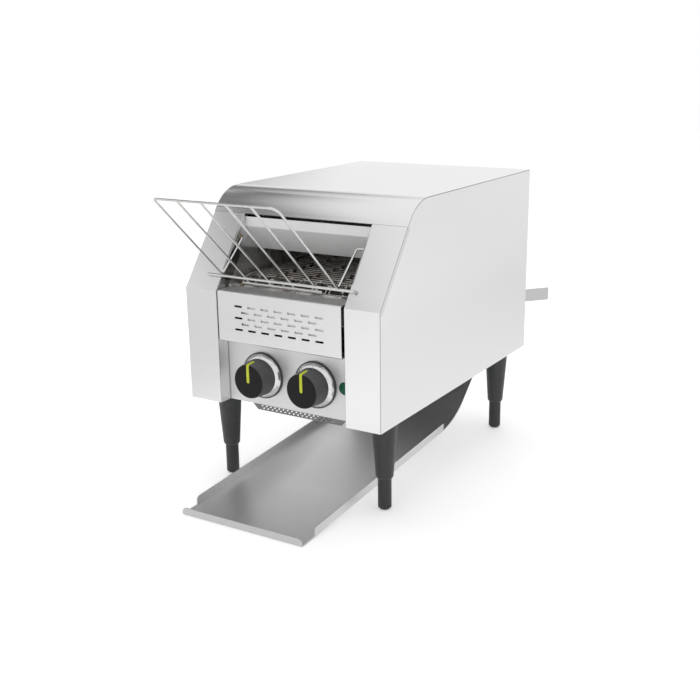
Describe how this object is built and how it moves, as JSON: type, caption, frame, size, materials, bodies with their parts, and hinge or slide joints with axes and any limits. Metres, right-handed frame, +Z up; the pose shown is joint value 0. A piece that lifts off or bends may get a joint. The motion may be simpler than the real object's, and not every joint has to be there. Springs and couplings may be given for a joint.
{
  "type": "conveyor toaster",
  "caption": "Countertop conveyor toaster: folded steel casing on tapered legs, wire feed rack above a linked wire belt, control knobs in front and a slide-out toast tray below.",
  "frame": {"origin": "on the table the feet stand on, under the middle of the whole footprint: midway between the left and right wall spacers, and midway between the front edge of the feed rack and the rear tips of the spacers", "axes": "+X is the toaster's right as one stands in front of it, -Y is the front where bread goes in, +Z is up"},
  "size_m": [0.307, 0.6194, 0.3994],
  "materials": {
    "casing_steel": "stainless sheet, fine brushed",
    "chamber_steel": "stainless sheet, dulled by heat",
    "tray_steel": "stainless sheet, brushed",
    "spacer_steel": "stainless strip, brushed",
    "rack_wire": "polished welded wire",
    "belt_wire": "stainless wire, dulled by heat",
    "shaft_steel": "turned steel",
    "sprocket_steel": "oiled steel",
    "bush_bronze": "sintered bronze",
    "quartz": "clear quartz tube",
    "ceramic": "opaque unglazed ceramic",
    "heating_wire": "oxidised resistance wire",
    "motor_casting": "as cast",
    "knob_black": "fine matt black plastic",
    "pointer_lime": "lime green insert",
    "dial_chrome": "satin chrome with fine scale marks",
    "rim_black": "black ring",
    "lamp_green": "translucent green lens",
    "switch_plastic": "moulded plastic",
    "gland_black": "black nylon",
    "leg_black": "dark grey moulded plastic",
    "foot_black": "black moulded plastic"
  },
  "bodies": {
    "casing": {"back_panel": "casing_steel", "back_screws": "shaft_steel", "base_plate": "casing_steel", "cable_gland": "gland_black", "chamber_roof": "chamber_steel", "chamber_wall_left": "chamber_steel", "chamber_wall_right": "chamber_steel", "chute_rest": "chamber_steel", "control_panel": "casing_steel", "crumb_shelf": "chamber_steel", "dial_left": "dial_chrome", "dial_right": "dial_chrome", "dial_rims": "rim_black", "drive_chain": "sprocket_steel", "drop_guide": "chamber_steel", "gear_motor": "motor_casting", "heat_guard": "chamber_steel", "heater_caps": "ceramic", "heater_coils": "heating_wire", "heater_tubes_lower": "quartz", "heater_tubes_upper": "quartz", "leg_bolts": "shaft_steel", "leg_front_left": "leg_black", "leg_front_right": "leg_black", "leg_rear_left": "leg_black", "leg_rear_right": "leg_black", "mode_switch": "switch_plastic", "pilot_lamp_body": "switch_plastic", "pilot_lamp_lens": "lamp_green", "rack_bushes": "bush_bronze", "rear_bulkhead": "chamber_steel", "shaft_bushes": "bush_bronze", "side_panel_left": "casing_steel", "side_panel_right": "casing_steel", "speed_regulator": "switch_plastic", "terminal_block": "switch_plastic", "top_cover": "casing_steel", "vent_panel": "casing_steel", "wall_spacers": "spacer_steel", "wire_belt": "belt_wire"},
    "front_drive": {"front_shaft": "shaft_steel", "front_sprockets": "sprocket_steel", "drive_sprocket": "sprocket_steel"},
    "rear_idler": {"rear_shaft": "shaft_steel", "rear_sprockets": "sprocket_steel"},
    "motor_drive": {"motor_shaft": "shaft_steel", "motor_sprocket": "sprocket_steel"},
    "mode_knob": {"knob_left": "knob_black", "knob_pointer_left": "pointer_lime", "knob_spindle_left": "shaft_steel"},
    "speed_knob": {"knob_right": "knob_black", "knob_pointer_right": "pointer_lime", "knob_spindle_right": "shaft_steel"},
    "rack": {"feed_rack": "rack_wire"},
    "tray": {"toast_tray": "tray_steel"},
    "levelling_foot_front_left": {"foot_front_left": "foot_black"},
    "levelling_foot_front_right": {"foot_front_right": "foot_black"},
    "levelling_foot_rear_left": {"foot_rear_left": "foot_black"},
    "levelling_foot_rear_right": {"foot_rear_right": "foot_black"}
  },
  "joints": [
    {"name": "front_drive_spin", "type": "hinge", "parent": "casing", "child": "front_drive", "pos_m": [0, -0.1415, 0.2605], "axis": [-1, 0, 0], "continuous": true, "deforming": ["wire_belt", "drive_chain"]},
    {"name": "rear_idler_spin", "type": "hinge", "parent": "casing", "child": "rear_idler", "pos_m": [0, 0.1685, 0.2605], "axis": [-1, 0, 0], "continuous": true},
    {"name": "motor_spin", "type": "hinge", "parent": "casing", "child": "motor_drive", "pos_m": [0.12, -0.09388, 0.17801], "axis": [-1, 0, 0], "continuous": true},
    {"name": "mode_knob_turn", "type": "hinge", "parent": "casing", "child": "mode_knob", "pos_m": [-0.04, -0.1815, 0.1603], "axis": [0, 1, 0], "range_deg": [0, 270]},
    {"name": "speed_knob_turn", "type": "hinge", "parent": "casing", "child": "speed_knob", "pos_m": [0.04, -0.1815, 0.1603], "axis": [0, 1, 0], "range_deg": [0, 300]},
    {"name": "rack_swing", "type": "hinge", "parent": "casing", "child": "rack", "pos_m": [0, -0.14546, 0.32803], "axis": [-1, 0, 0], "range_deg": [0, 120]},
    {"name": "tray_pull", "type": "slide", "parent": "casing", "child": "tray", "axis": [0, -1, 0], "range_m": [0, 0.3]},
    {"name": "foot_front_left_turn", "type": "hinge", "parent": "casing", "child": "levelling_foot_front_left", "pos_m": [-0.1205, -0.1515, 0.042], "axis": [0, 0, 1], "continuous": true},
    {"name": "foot_front_right_turn", "type": "hinge", "parent": "casing", "child": "levelling_foot_front_right", "pos_m": [0.1205, -0.1515, 0.042], "axis": [0, 0, 1], "continuous": true},
    {"name": "foot_rear_left_turn", "type": "hinge", "parent": "casing", "child": "levelling_foot_rear_left", "pos_m": [-0.1205, 0.1885, 0.042], "axis": [0, 0, 1], "continuous": true},
    {"name": "foot_rear_right_turn", "type": "hinge", "parent": "casing", "child": "levelling_foot_rear_right", "pos_m": [0.1205, 0.1885, 0.042], "axis": [0, 0, 1], "continuous": true}
  ],
  "couplings": [
    {"joint": "rear_idler_spin", "follows": "front_drive_spin", "ratio": 1},
    {"joint": "motor_spin", "follows": "front_drive_spin", "ratio": 1}
  ]
}
